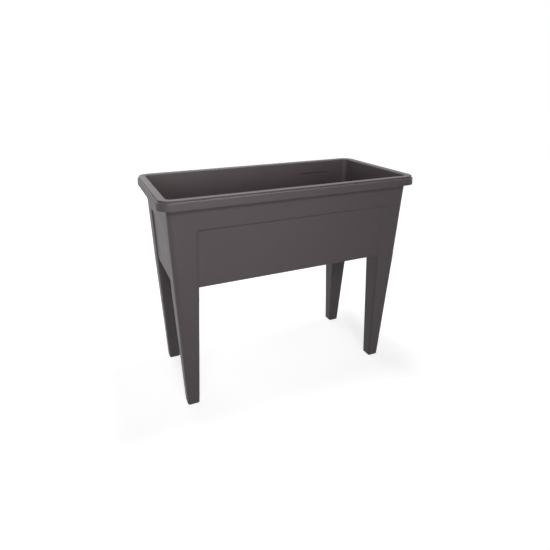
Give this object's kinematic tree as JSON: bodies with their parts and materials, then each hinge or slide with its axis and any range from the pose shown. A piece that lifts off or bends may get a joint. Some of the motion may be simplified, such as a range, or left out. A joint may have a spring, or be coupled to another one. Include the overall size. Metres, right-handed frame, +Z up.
{
  "type": "raised planter table",
  "caption": "Rectangular plastic planting tub with a stepped rim and recessed side panels, raised to working height on tapered corner legs, with drain plugs under its floor.",
  "frame": {"origin": "on the ground, at the middle of the planter's plan", "axes": "+X along the length to the right, -Y towards the front, +Z up"},
  "size_m": [0.7758, 0.3738, 0.65],
  "materials": {
    "planter_plastic": "fine satin mould texture, warm grey-brown",
    "plug_plastic": "smooth satin, darker grey-brown"
  },
  "bodies": {
    "planter": {"tub": "planter_plastic", "leg_front_left": "planter_plastic", "leg_front_right": "planter_plastic", "leg_rear_left": "planter_plastic", "leg_rear_right": "planter_plastic"},
    "left_plug": {"drain_plug_left": "plug_plastic"},
    "right_plug": {"drain_plug_right": "plug_plastic"}
  },
  "joints": [
    {"name": "left_plug_pull", "type": "slide", "parent": "planter", "child": "left_plug", "axis": [0, 0, -1], "range_m": [0, 0.03]},
    {"name": "right_plug_pull", "type": "slide", "parent": "planter", "child": "right_plug", "axis": [0, 0, -1], "range_m": [0, 0.03]}
  ]
}
